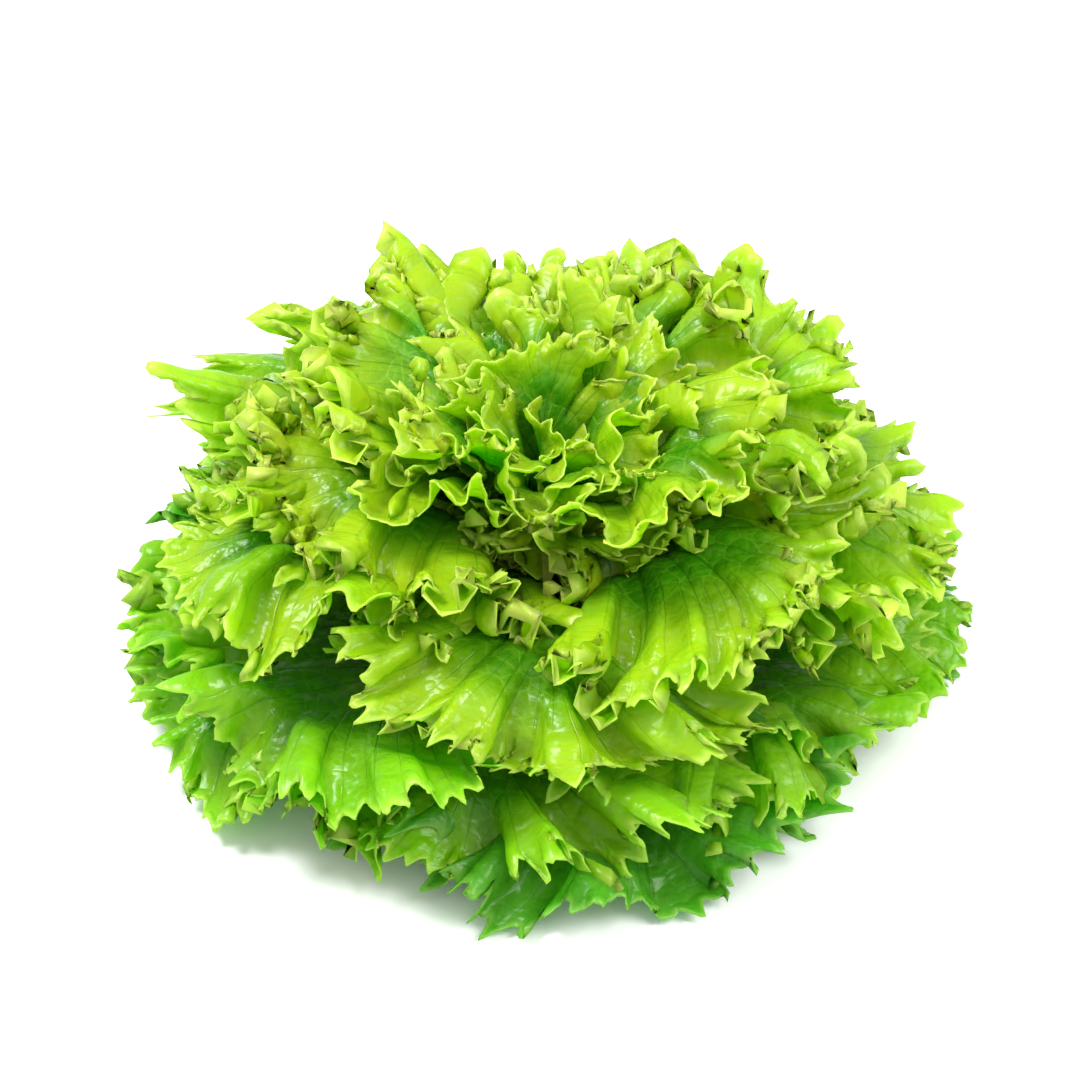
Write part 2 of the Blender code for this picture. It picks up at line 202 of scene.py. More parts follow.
@dataclass
class Leaf:
    """One leaf: its place on the stem and its own size, bend and waviness."""

    index: int
    age: float
    azimuth: float
    length: float
    half_width: float
    rise: float
    fall: float
    cup: float
    flare: float
    yaw: float
    roll: float
    sway: float
    frill: float
    wave_spacing: float = 56 * MM
    fold_spacing: float = 30 * MM
    curl_spacing: float = 13 * MM
    crimp_spacing: float = 7 * MM
    lobe_reach: float = 4.2 * MM
    tooth_reach: float = 6.0 * MM
    nick_spacing: float = 2.3 * MM
    nick_reach: float = 0.9 * MM
    veins: float = 7.0
    full_length: float = 105 * MM
    least_ray: float = 12 * MM
    pucker: float = 0.008
    blister_waves: int = 10
    fine_blister: float = 0.22 * MM
    fine_widths: tuple[float, float] = (12 * MM, 26 * MM)
    broad_blister: float = 0.9 * MM
    broad_widths: tuple[float, float] = (55 * MM, 110 * MM)

    @classmethod
    def grown(cls, index: int) -> "Leaf":
        """The leaf of a number.

        Args:
            index: the leaf's number, 0 for the lowest.

        Returns:
            The leaf with its seeded sizes.
        """
        rng = np.random.default_rng(SEED * PLACE_SEEDS + index)
        outer = index < GROWTH.outer_leaves
        jitter = GROWTH.outer_jitter if outer else GROWTH.head_jitter
        age = (index + rng.uniform(-1, 1) * jitter) / (GROWTH.leaves - 1)
        if outer:
            age = min(max(age, 0), GROWTH.outer_until)
        elif index < GROWTH.leaves:
            age = min(max(age, GROWTH.head_from), 1)
        else:
            number = index - GROWTH.leaves + 0.5
            age = GROWTH.small_from + GROWTH.small_span * number / GROWTH.heart_leaves
        loose = float(ease(0.7, 0.9, np.array(age)))
        azimuth = GROWTH.first + index * GROWTH.turn
        azimuth += math.radians(rng.uniform(-6, 6) * (1 + 4 * loose))
        opening = GROWTH.open_share * GROWTH.opening(age, azimuth)
        shortest = 0.94 if age < 0.48 else 0.86
        length = GROWTH.at("length", age) * rng.uniform(shortest, 1.05) * MM * (1 - opening)
        half_width = GROWTH.at("half_width", age) * rng.uniform(0.92, 1.08) * MM
        half_width *= 1 - 0.6 * opening
        rise = math.radians(GROWTH.at("rise", age) + rng.uniform(-4, 4))
        fall = math.radians(GROWTH.at("fall", age) + rng.uniform(-1, 1) * (7 if age < 0.42 else 16))
        cup = GROWTH.at("cup", age) * rng.uniform(0.7, 1.2)
        flare = GROWTH.at("flare", age) * rng.uniform(0.6, 1.3) * MM
        yaw = math.radians(rng.uniform(-9, 9))
        roll = math.radians(rng.uniform(-20, 20) * (0.3 + 0.7 * age + 0.8 * loose))
        sway = rng.uniform(-0.22, 0.22)
        broad = GROWTH.facing(azimuth) * float(1 - ease(0.45, 0.57, np.array(age)))
        frill = rng.uniform(0.6, 1.1) * (1 - 0.3 * broad) * (1 - 0.7 * opening / GROWTH.open_share)
        return cls(
            index, age, azimuth, length, half_width, rise, fall, cup, flare, yaw, roll, sway, frill
        )

    @property
    def tone(self) -> Tone:
        """The part of the head that the leaf belongs to, or the greener head finish as painted
        shade.
        """
        if self.index < GROWTH.outer_leaves:
            return Tone.OUTER if self.index < GROWTH.lowest_leaves else Tone.MIDDLE
        # Heart-age leaves where the head opens at the front sit in shade: the greener head finish
        # there is painted shade.
        opened_in_shade = GROWTH.opening(self.age, self.azimuth) > GROWTH.open_shaded
        return Tone.HEAD if opened_in_shade or self.age < GROWTH.heart_from else Tone.HEART

    @property
    def name(self) -> str:
        """The name of the leaf's piece."""
        return f"{self.tone.value}_leaf_{self.index:02d}"

    @property
    def share(self) -> float:
        """How much of a full leaf's waviness and teeth a small leaf has."""
        return min(1.0, self.length / self.full_length) ** 1.3

    @property
    def rib(self) -> float:
        """Width of the rib at the leaf's foot."""
        return GROWTH.at("rib_width", self.age) * MM

    def outline(self, p: Array) -> tuple[Array, Array]:
        """Places of margin points.

        Args:
            p: from 0 at the base corner to 1 at the tip.

        Returns:
            How far along the leaf they are, and how far across.
        """
        along = self.length * np.sin(math.pi / 2 * p)
        across = self.rib / 2 * (1 - p) + self.half_width * np.sin(math.pi * p**0.82)
        return along, across

    def rib_place(self, p: Array) -> Array:
        """How far along the midrib the side vein to a margin point begins."""
        return 0.6 * self.length * p**1.3

    def flat_place(self, m: Array, d: Array) -> tuple[Array, Array]:
        """Places in the flat leaf.

        Args:
            m: round the margin, from -1 to 1 with the tip at 0.
            d: from 0 on the midrib to 1 on the margin, along a side vein.

        Returns:
            How far along the leaf they are, and how far across.
        """
        p = 1 - np.abs(m)
        edge_x, edge_y = self.outline(p)
        rib_x = self.rib_place(p)
        turn_x = rib_x + 0.62 * (edge_x - rib_x)
        turn_y = 0.3 * edge_y
        x = (1 - d) ** 2 * rib_x + 2 * d * (1 - d) * turn_x + d * d * edge_x
        y = 2 * d * (1 - d) * turn_y + d * d * edge_y
        return x, y * np.sign(m)

    def bend(self, x: Array, y: Array) -> Array:
        """Carries flat points to the head: arched along the midrib, cupped, rolled and turned.

        Args:
            x: how far along the flat leaf.
            y: how far across it.

        Returns:
            Points in the head.
        """
        s = np.linspace(0, 1.2 * self.length, ARC_STEPS + 1)
        angle = self.rise + (self.fall - self.rise) * (s / self.length) ** 1.25
        middle = (angle[1:] + angle[:-1]) / 2
        out = np.concatenate([[0], np.cumsum(np.cos(middle) * s[1])])
        up = np.concatenate([[0], np.cumsum(np.sin(middle) * s[1])])
        slope = np.interp(x, s, angle)
        share = np.clip(x / self.length, 0, 1)
        curve = np.maximum(self.cup * (1 - 0.75 * share), 0.001)
        across = np.sin(curve * y) / curve
        lift = (1 - np.cos(curve * y)) / curve
        roll = self.roll * share
        across, lift = (
            across * np.cos(roll) - lift * np.sin(roll),
            across * np.sin(roll) + lift * np.cos(roll),
        )
        across = across + self.sway * self.length * 0.5 * (x / self.length) ** 2
        radial = np.interp(x, s, out) - lift * np.sin(slope)
        root_height = GROWTH.at("root_height", self.age) * MM
        height = np.interp(x, s, up) + lift * np.cos(slope) + root_height
        cos, sin = math.cos(self.yaw), math.sin(self.yaw)
        root = GROWTH.at("root_radius", self.age) * MM
        radial, across = radial * cos - across * sin + root, radial * sin + across * cos
        cos, sin = math.cos(self.azimuth), math.sin(self.azimuth)
        return np.stack([radial * cos - across * sin, radial * sin + across * cos, height], axis=-1)

    def rest(self, points: Array) -> Array:
        """Lays head leaves on the cone, and outer leaves under it and on the ground.

        Args:
            points: the leaf's points, which are moved up or down.

        Returns:
            The same points.
        """
        height = points[..., 2]
        radius = np.hypot(points[..., 0], points[..., 1])
        cone = BED.height + BED.slope * (radius - BED.radius)
        if self.index < GROWTH.outer_leaves:
            roof = cone - BED.margin - BED.step * (GROWTH.outer_leaves - 1 - self.index)
            roof = roof + BED.free_slope * np.maximum(radius - BED.free_from, 0)
            height = roof - BED.pressed(roof - height)
            ground = BED.ground + BED.step * self.index
        else:
            ground = cone + BED.margin + BED.step * min(self.index - GROWTH.outer_leaves, 12)
        points[..., 2] = ground + BED.pressed(height - ground)
        return points

    def margin(self, columns: int) -> tuple[Array, Array]:
        """Evenly spaced places round the leaf.

        Args:
            columns: how many steps to take.

        Returns:
            The places, from -1 to 1, and the way walked along the margin to each.
        """
        fine = np.linspace(-1, 1, MARGIN_STEPS + 1)
        x, y = self.outline(1 - np.abs(fine))
        y = y * np.sign(fine)
        way = np.concatenate([[0], np.cumsum(np.hypot(np.diff(x), np.diff(y)))])
        walked = np.linspace(0, way[-1], columns + 1)
        m = np.interp(walked, way, fine)
        m[columns // 2] = 0
        return m, walked

    @staticmethod
    def horns(rng: np.random.Generator, count: Array, reach: float) -> Array:
        """Uneven teeth with hollow flanks.

        Args:
            rng: the leaf's own seeded draws.
            count: the teeth passed so far at each place, with a tooth's tip at each half.
            reach: how far a usual tooth stands out.

        Returns:
            How far the margin stands out at each place.
        """
        count = count - math.floor(count.min())
        number = np.floor(count).astype(int)
        tall = rng.uniform(0.3, 1.3, number.max() + 1)
        return reach * tall[number] * (1 - np.abs(2 * (count - number) - 1)) ** 1.6

    def surface(self, columns: int, depths: Array) -> tuple[Array, Array, Array]:
        """The leaf's upper face as a fine grid.

        Args:
            columns: steps along the margin.
            depths: the rows' places, from 0 on the midrib to 1 on the margin.

        Returns:
            The grid's points, the flat leaf's points and the number of the side vein at each point.
        """
        rng = np.random.default_rng(SEED * WAVE_SEEDS + self.index)
        m, walked = self.margin(columns)
        margins, depth = np.meshgrid(m, depths)
        reach_round = 2 * (self.length + self.half_width)
        spacing = self.wave_spacing * rng.uniform(0.85, 1.2)
        phase = math.pi * reach_round / spacing * m + drift(rng, m, 1.6)
        phase = phase + rng.uniform(0, TURN)
        gain = np.clip(1 + drift(rng, m, 0.4, terms=8, slow=2.1), 0.4, 1.6)
        wander = drift(rng, m, 4.0, terms=7, slow=1.7) * MM
        calm = ease(1.0, 0.78, np.abs(m))
        waves = []
        for table, step, start, over in (
            ("fold", self.fold_spacing, 0.45, 0.25),
            ("curl", self.curl_spacing, 0.74, 0.25),
            ("crimp", self.crimp_spacing, 0.84, 0.2),
        ):
            turn = TURN * walked / (step * rng.uniform(0.85, 1.2))
            turn = turn + drift(rng, m, 2.4) + rng.uniform(0, DRAWN_TURN)
            strength = np.clip(1 + drift(rng, m, 0.5, terms=9, slow=2.3), 0.25, 1.4)
            size = GROWTH.at(table, self.age) * MM * strength * calm * self.frill * self.share**0.5
            lean = rng.uniform(-2, 2) + drift(rng, m, 1.2)
            leaning = turn + lean * np.clip((1 - depth) / (1 - start), 0, 1)
            waves.append((leaning, size, start, over))
            if table == "curl":
                teeth = self.horns(rng, turn / math.pi, self.tooth_reach * (0.6 + 0.4 * self.share))
        nicks = self.horns(rng, walked / self.nick_spacing + drift(rng, m, 3.0), self.nick_reach)

        lobes = self.lobe_reach * self.share * gain * (1 - 2 * np.abs(np.cos(phase)))
        lobes = lobes * ease(0.35, 1, depth)
        lobes = lobes - 0.3 * waves[1][1] * np.cos(2 * waves[1][0]) * ease(0.7, 1, depth)
        lobes = lobes + teeth * ease(0.86, 1, depth) ** 1.5 + nicks * ease(0.95, 1, depth)
        edge_x, edge_y = self.outline(1 - np.abs(m))
        ray = np.hypot(edge_x - self.rib_place(1 - np.abs(m)), edge_y) + self.least_ray
        reach = depth + (ease(0.5, 1, depth) * wander * self.share + lobes) * calm / ray
        flat_x, flat_y = self.flat_place(margins, reach)
        vein = np.abs(m) * self.veins + drift(rng, m, 0.25, terms=4, slow=1.3)
        vein = np.broadcast_to(vein, depth.shape)

        points = self.bend(flat_x, flat_y)
        normal, along = grid_directions(points)
        points = points - normal * (self.flare * ease(0.3, 1, depth) ** 1.5)[..., None]
        normal, along = grid_directions(points)
        wave = GROWTH.at("ruffle", self.age) * MM * gain * ease(0.2, 1, depth) ** 1.25 * calm
        bulge = self.blisters(rng, flat_x, flat_y, depth, self.fine_blister, self.fine_widths)
        broad = self.broad_blister * self.share
        bulge += self.blisters(rng, flat_x, flat_y, depth, broad, self.broad_widths)
        bulge += self.puckers(vein, depth)
        points = points + normal * (wave * np.sin(phase) + bulge)[..., None]
        points = points - along * (0.3 * wave * np.sin(2 * phase))[..., None]
        for turn, size, start, over in waves:
            normal, along = grid_directions(points)
            wave = size * ease(start, 1, depth) ** 1.3
            points = points + normal * (wave * np.sin(turn))[..., None]
            points = points - along * (over * wave * np.sin(2 * turn))[..., None]
        return self.rest(points), np.stack([flat_x, flat_y], axis=-1), vein

    def puckers(self, vein: Array, depth: Array) -> Array:
        """Swells the blade between the side veins."""
        swell = np.abs(np.sin(math.pi * vein)) ** 0.6 - 0.6
        return self.pucker * self.length * swell * ease(0.05, 0.4, depth) * ease(1.0, 0.6, depth)

    def blisters(
        self,
        rng: np.random.Generator,
        x: Array,
        y: Array,
        depth: Array,
        size: float,
        widths: tuple[float, float],
    ) -> Array:
        """Soft swellings of the blade.

        Args:
            rng: the leaf's own seeded draws.
            x: how far along the flat leaf.
            y: how far across it.
            depth: from 0 on the midrib to 1 on the margin.
            size: height of each of the added waves.
            widths: the least and the greatest width of a swelling.

        Returns:
            Heights above the even blade.
        """
        total = np.zeros_like(x)
        for _ in range(self.blister_waves):
            heading = rng.uniform(0, math.pi)
            turns = TURN / rng.uniform(*widths)
            across = x * math.cos(heading) + y * math.sin(heading)
            total += np.sin(turns * across + rng.uniform(0, DRAWN_TURN))
        return size * total * ease(0.02, 0.3, depth) * (1 - 0.5 * ease(0.8, 1, depth))


def grid_directions(points: Array) -> tuple[Array, Array]:
    """Directions on a grid of points.

    Args:
        points: the grid, rows by columns by three.

    Returns:
        Its unit normals, and unit directions along its rows.
    """
    along = np.gradient(points, axis=1)
    normal = np.cross(np.gradient(points, axis=0), along)
    normal /= np.maximum(np.linalg.norm(normal, axis=-1, keepdims=True), 1e-12)
    along /= np.maximum(np.linalg.norm(along, axis=-1, keepdims=True), 1e-12)
    return normal, along


def deselect_all() -> None:
    """Leaves no object selected."""
    for obj in bpy.context.selected_objects:
        obj.select_set(False)
    bpy.context.view_layer.objects.active = None


def make_active(obj: bpy.types.Object) -> None:
    """Selects one object alone and makes it active."""
    deselect_all()
    obj.select_set(True)
    bpy.context.view_layer.objects.active = obj


def apply_modifiers(obj: bpy.types.Object) -> None:
    """Applies every modifier of an object in order."""
    make_active(obj)
    for modifier in list(obj.modifiers):
        bpy.ops.object.modifier_apply(modifier=modifier.name)


@dataclass
class Blank:
    """A flat, uncut blade: a grid with more columns towards the margin, to shape leaves from."""

    columns: int
    depths: Sequence[float] = (
        0, 0.07, 0.15, 0.24, 0.33, 0.42, 0.51, 0.59, 0.66,
        0.72, 0.775, 0.825, 0.865, 0.9, 0.93, 0.956, 0.98, 1,
    )
    doubled_from: Sequence[float] = (0.33, 0.66, 0.865)

    @property
    def margin_columns(self) -> int:
        """The number of columns along the margin."""
        return self.columns * 2 ** len(self.doubled_from)

    def cut(self) -> bpy.types.Object:
        """Models the grid.

        Returns:
            A mesh object one unit wide and deep, with the midrib along its near side.
        """
        deselect_all()
        rows = len(self.depths) - 1
        bpy.ops.mesh.primitive_grid_add(x_subdivisions=self.columns, y_subdivisions=rows, size=1)
        grid = bpy.context.object
        for vertex in grid.data.vertices:
            vertex.co.y = self.depths[round((vertex.co.y + 0.5) * rows)]
        bpy.context.tool_settings.mesh_select_mode = (False, True, False)
        for depth in self.doubled_from:
            self.select_rows(grid.data, depth)
            bpy.ops.object.mode_set(mode="EDIT")
            bpy.ops.mesh.subdivide(number_cuts=1, ngon=False)
            bpy.ops.object.mode_set(mode="OBJECT")
        bpy.context.tool_settings.mesh_select_mode = (True, False, False)
        return grid

    @staticmethod
    def select_rows(mesh: bpy.types.Mesh, depth: float) -> None:
        """Selects the edges that run along the rows from a depth on."""
        for part in (mesh.vertices, mesh.polygons):
            for item in part:
                item.select = False
        for edge in mesh.edges:
            a, b = (mesh.vertices[v].co for v in edge.vertices)
            edge.select = abs(a.y - b.y) < 1e-4 and a.y > depth - 1e-4


@dataclass
class Blade:
    """A leaf as a finished piece: shaped from a blank, given its thickness and dressed."""

    leaf: Leaf
    thickness: float = 0.45 * MM
    rib_thickness: float = 4.5 * MM
    seam: float = 0.02 * MM

    def build(self, blank: bpy.types.Object, size: Blank) -> bpy.types.Object:
        """Shapes the piece.

        Args:
            blank: the flat blade to copy.
            size: the numbers of columns and rows that the blank was cut with.

        Returns:
            The leaf's object.
        """
        columns = size.margin_columns
        depths = np.array(size.depths)
        points, flat, vein = self.leaf.surface(columns, depths)
        mesh = blank.data.copy()
        piece = bpy.data.objects.new(self.leaf.name, mesh)
        bpy.context.scene.collection.objects.link(piece)
        places = np.empty(len(mesh.vertices) * 3)
        mesh.vertices.foreach_get("co", places)
        places = places.reshape(-1, 3)
        column = np.rint((places[:, 0] + 0.5) * columns).astype(int)
        row = np.abs(places[:, 1:2] - depths[None]).argmin(axis=1)
        corner = np.empty(len(mesh.loops), int)
        mesh.loops.foreach_get("vertex_index", corner)
        vein_map = np.stack([vein[row, column], depths[row]], axis=1)
        flat_map = flat[row, column][:, ::-1] * FLAT_MAP_SCALE
        mesh.uv_layers[0].name = "vein"
        mesh.uv_layers["vein"].data.foreach_set("uv", vein_map[corner].ravel())
        mesh.uv_layers.new(name="flat").data.foreach_set("uv", flat_map[corner].ravel())
        mesh.vertices.foreach_set("co", points[row, column].ravel())
        self.thicken(piece, flat[row, column], depths[row])
        return piece

    def thicken(self, piece: bpy.types.Object, flat: Array, depth: Array) -> None:
        """Closes the seam along the midrib and thickens the blade, more along the rib."""
        along = flat[:, 0] / self.leaf.length
        across = np.abs(flat[:, 1])
        width = self.leaf.rib / 2 * np.clip(1 - along / 0.75, 0.08, 1)
        ridge = np.clip(1 - (across / width) ** 2, 0, 1) * np.clip(1 - along / 0.8, 0, 1) ** 1.2
        ridge = np.maximum(ridge, 0.06 * (1 - ease(0.6, 0.98, depth)))
        group = piece.vertex_groups.new(name="rib")
        for number in np.nonzero(ridge > 0.005)[0]:
            group.add([int(number)], float(ridge[number]), "REPLACE")
        make_active(piece)
        bpy.ops.object.mode_set(mode="EDIT")
        bpy.ops.mesh.select_all(action="SELECT")
        bpy.ops.mesh.remove_doubles(threshold=self.seam)
        bpy.ops.object.mode_set(mode="OBJECT")
        bpy.ops.object.shade_smooth()
        wall = piece.modifiers.new("thickness", "SOLIDIFY")
        wall.thickness = self.rib_thickness
        wall.vertex_group = "rib"
        wall.thickness_vertex_group = self.thickness / self.rib_thickness
        wall.offset = 1
        wall.use_even_offset = False
        wall.material_offset = 1
        apply_modifiers(piece)

    def dress(
        self, piece: bpy.types.Object, upper: bpy.types.Material, under: bpy.types.Material
    ) -> None:
        """Gives the leaf its finishes and its place in the frame."""
        piece.data.materials.append(upper)
        piece.data.materials.append(under)
        outer = self.leaf.index < GROWTH.outer_leaves
        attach(piece, BODY)
        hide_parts("outer_leaves" if outer else "head_leaves")


class Bench:
    """Lays nodes in a tree and wires them."""

    def __init__(self, tree: bpy.types.NodeTree) -> None:
        """Keeps the tree to work on."""
        self.tree = tree

    def wire(self, socket: Socket, value: object) -> None:
        """Links a socket to another, or sets its value."""
        if isinstance(value, bpy.types.NodeSocket):
            self.tree.links.new(value, socket)
        elif value is not None:
            if isinstance(value, tuple) and len(value) == 3 and socket.type == "RGBA":
                value = (*value, 1.0)
            socket.default_value = value

    def put(
        self, kind: str, inputs: dict[str | int, object] | None = None, **settings: object
    ) -> bpy.types.Node:
        """Adds a node.

        Args:
            kind: the node's type.
            inputs: a value or a socket for each input, by name or number.
            settings: attributes of the node.

        Returns:
            The node.
        """
        node = self.tree.nodes.new(kind)
        for key, value in settings.items():
            setattr(node, key, value)
        for key, value in (inputs or {}).items():
            self.wire(node.inputs[key], value)
        return node

    def math(self, operation: str, a: object, b: object = None) -> Socket:
        """A Math node's result."""
        return self.put("ShaderNodeMath", {0: a, 1: b}, operation=operation).outputs[0]

    def step(
        self, value: object, low: float, high: float, out_low: float = 0.0, out_high: float = 1.0
    ) -> Socket:
        """A smooth step of a value between two limits."""
        limits = {"From Min": low, "From Max": high, "To Min": out_low, "To Max": out_high}
        inputs = {"Value": value, **limits}
        node = self.put("ShaderNodeMapRange", inputs, interpolation_type="SMOOTHSTEP")
        return node.outputs["Result"]

    def mix(self, factor: object, a: object, b: object) -> Socket:
        """Two colours mixed."""
        node = self.put("ShaderNodeMix", data_type="RGBA", clamp_factor=True)
        self.wire(node.inputs["Factor"], factor)
        self.wire(node.inputs[6], a)
        self.wire(node.inputs[7], b)
        return node.outputs[2]

    def noise(
        self, vector: Socket, scale: float, detail: float = 2.0, roughness: float = 0.5
    ) -> Socket:
        """A Noise Texture's value."""
        inputs = {"Vector": vector, "Scale": scale, "Detail": detail, "Roughness": roughness}
        return self.put("ShaderNodeTexNoise", inputs).outputs[0]

    def cells(self, vector: Socket, scale: float, feature: str = "F1") -> Socket:
        """A flat Voronoi Texture's distance, from the middle of each cell or from its edge."""
        inputs = {"Vector": vector, "Scale": scale}
        node = self.put("ShaderNodeTexVoronoi", inputs, voronoi_dimensions="2D", feature=feature)
        return node.outputs["Distance"]


def new_group(name: str, inputs: dict[str, str], outputs: dict[str, str]) -> bpy.types.NodeTree:
    """Starts a shader node group.

    Args:
        name: the group's name.
        inputs: each input's name and socket type.
        outputs: each output's name and socket type.

    Returns:
        The group, with its sockets and without nodes.
    """
    tree = bpy.data.node_groups.new(name, "ShaderNodeTree")
    for key, kind in inputs.items():
        tree.interface.new_socket(key, in_out="INPUT", socket_type=kind)
    for key, kind in outputs.items():
        tree.interface.new_socket(key, in_out="OUTPUT", socket_type=kind)
    return tree


def vein_group() -> bpy.types.NodeTree:
    """The veins of a leaf: ribs along the side veins and a net between them.

    Returns:
        A group that takes the leaf's two maps and puts out masks and a height.
    """
    maps = dict.fromkeys(("Vein", "Flat"), "NodeSocketVector")
    masks = dict.fromkeys(("Rib", "Veins", "Net", "Margin", "Height", "Depth"), "NodeSocketFloat")
    tree = new_group("leaf veins", maps, masks)
    bench = Bench(tree)
    given = bench.put("NodeGroupInput")
    result = bench.put("NodeGroupOutput")
    split = bench.put("ShaderNodeSeparateXYZ", {0: given.outputs["Vein"]})
    depth = split.outputs["Y"]
    lines = []
    for count, start, width in ((1.0, 0.0, 0.55), (3.0, 0.36, 0.34)):
        turn = bench.math("MULTIPLY", split.outputs["X"], count)
        turn = bench.math("FRACT", bench.math("ADD", turn, 0.5))
        gap = bench.math("ABSOLUTE", bench.math("SUBTRACT", turn, 0.5))
        gap = bench.math("MULTIPLY", bench.math("MULTIPLY", gap, depth), 27.0 / count)
        line = bench.step(gap, 0.3 * width, width, 1.0, 0.0)
        ends = bench.step(depth, start, start + 0.12), bench.step(depth, 0.55, 1.0, 1.0, 0.25)
        fade = bench.math("MULTIPLY", *ends)
        lines.append(bench.math("MULTIPLY", line, fade))
    veins = bench.math("MAXIMUM", lines[0], bench.math("MULTIPLY", lines[1], 0.6))
    flat = given.outputs["Flat"]
    coarse = bench.cells(flat, 12.5)
    fine = bench.cells(flat, 34.0)
    edge = bench.cells(flat, 12.5, feature="DISTANCE_TO_EDGE")
    edge = bench.step(edge, 0.015, 0.06, 1.0, 0.0)
    net = bench.math("MAXIMUM", edge, bench.step(fine, 0.4, 0.75, 0.0, 0.5))
    net = bench.math("MULTIPLY", net, bench.step(depth, 0.05, 0.2))
    across = bench.math("ABSOLUTE", bench.put("ShaderNodeSeparateXYZ", {0: flat}).outputs["X"])
    rib = bench.step(across, 0.015, 0.05, 1.0, 0.0)
    rib = bench.math("MULTIPLY", rib, bench.step(depth, 0.02, 0.16, 1.0, 0.0))
    bulge = bench.step(coarse, 0.1, 0.75, 1.0, 0.0)
    bulge = bench.math("ADD", bulge, bench.step(fine, 0.1, 0.7, 0.3, 0.0))
    height = bench.math("SUBTRACT", bulge, bench.math("MULTIPLY", veins, 1.2))
    margin = bench.step(depth, 0.95, 0.995)
    for key, socket in zip(masks, (rib, veins, net, margin, height, depth)):
        bench.wire(result.inputs[key], socket)
    return tree


@dataclass(frozen=True)
class LeafFinish:
    """The colours and gloss of one kind of leaf."""

    name: str
    foot: Colour
    blade: Colour
    light: Colour
    margin: Colour
    vein: Colour
    # dark colour of the upper face's side veins: painted shade in their furrows
    furrow_shade: Colour
    glow: Colour
    deep_glow: Colour
    roughness: float = 0.36
    gloss: float = 0.95
    clear: float = 0.6
    bump: float = 0.36

    def underside(self) -> "LeafFinish":
        """The paler, duller finish of the leaf's underside."""

        def paler(colour: Colour, share: float = 0.4) -> Colour:
            """A colour mixed with the underside's green."""
            return tuple((1 - share) * c + share * p for c, p in zip(colour, (0.17, 0.56, 0.05)))

        return replace(
            self,
            name=self.name + "_underside",
            blade=paler(self.blade),
            light=paler(self.light),
            margin=paler(self.margin, 0.7),
            vein=paler(self.vein),
            # the underside's raised veins take the pale vein colour, with no painted furrow shade
            furrow_shade=paler(self.vein),
            roughness=0.5,
            gloss=0.2,
            bump=-0.55,
        )

    def material(self, veins: bpy.types.NodeTree) -> bpy.types.Material:
        """Builds the material.

        Args:
            veins: the vein group.

        Returns:
            A material that reads the leaf's own maps.
        """
        material = bpy.data.materials.new(self.name)
        material.use_nodes = True
        bench = Bench(material.node_tree)
        bench.tree.nodes.clear()
        vein_map = bench.put("ShaderNodeUVMap", uv_map="vein").outputs[0]
        flat_map = bench.put("ShaderNodeUVMap", uv_map="flat").outputs[0]
        maps = {"Vein": vein_map, "Flat": flat_map}
        masks = bench.put("ShaderNodeGroup", maps, node_tree=veins).outputs
        depth = masks["Depth"]
        place = bench.put("ShaderNodeTexCoord").outputs["Object"]
        patch = bench.noise(place, 26.0)
        colour = bench.mix(bench.step(depth, 0.0, 0.3), self.foot, self.blade)
        patchy = bench.math("SUBTRACT", bench.math("MULTIPLY", patch, 1.3), 0.65)
        ripe = bench.math("ADD", bench.step(depth, 0.35, 0.95), patchy)
        colour = bench.mix(ripe, colour, self.light)
        colour = bench.mix(bench.math("MULTIPLY", masks["Net"], 0.42), colour, self.vein)
        # side veins darkened with the furrow colour: painted shade along the vein valleys
        colour = bench.mix(bench.math("MULTIPLY", masks["Veins"], 0.55), colour, self.furrow_shade)
        colour = bench.mix(masks["Rib"], colour, self.foot)
        colour = bench.mix(bench.math("MULTIPLY", masks["Margin"], 0.8), colour, self.margin)
        light = bench.mix(bench.step(depth, 0.3, 0.9), self.deep_glow, self.glow)
        glow = bench.mix(0.6, colour, light)
        bump = bench.put(
            "ShaderNodeBump",
            {"Height": masks["Height"], "Strength": abs(self.bump), "Distance": 1.6 * MM},
            invert=self.bump < 0,
        ).outputs[0]
        rough = bench.math("ADD", self.roughness - 0.08, bench.math("MULTIPLY", patch, 0.2))
        skin = bench.put(
            "ShaderNodeBsdfPrincipled",
            {
                "Base Color": colour,
                "Roughness": rough,
                "Normal": bump,
                "Specular IOR Level": 0.15,
                "Specular Tint": (0.7, 1.0, 0.45),
                "Coat Weight": self.gloss,
                "Coat Roughness": 0.26,
                "Coat Normal": bump,
            },
        )
        through = bench.put("ShaderNodeBsdfTranslucent", {"Color": glow, "Normal": bump})
        layers = {0: self.clear, 1: skin.outputs[0], 2: through.outputs[0]}
        both = bench.put("ShaderNodeMixShader", layers)
        bench.put("ShaderNodeOutputMaterial", {"Surface": both.outputs[0]})
        return material


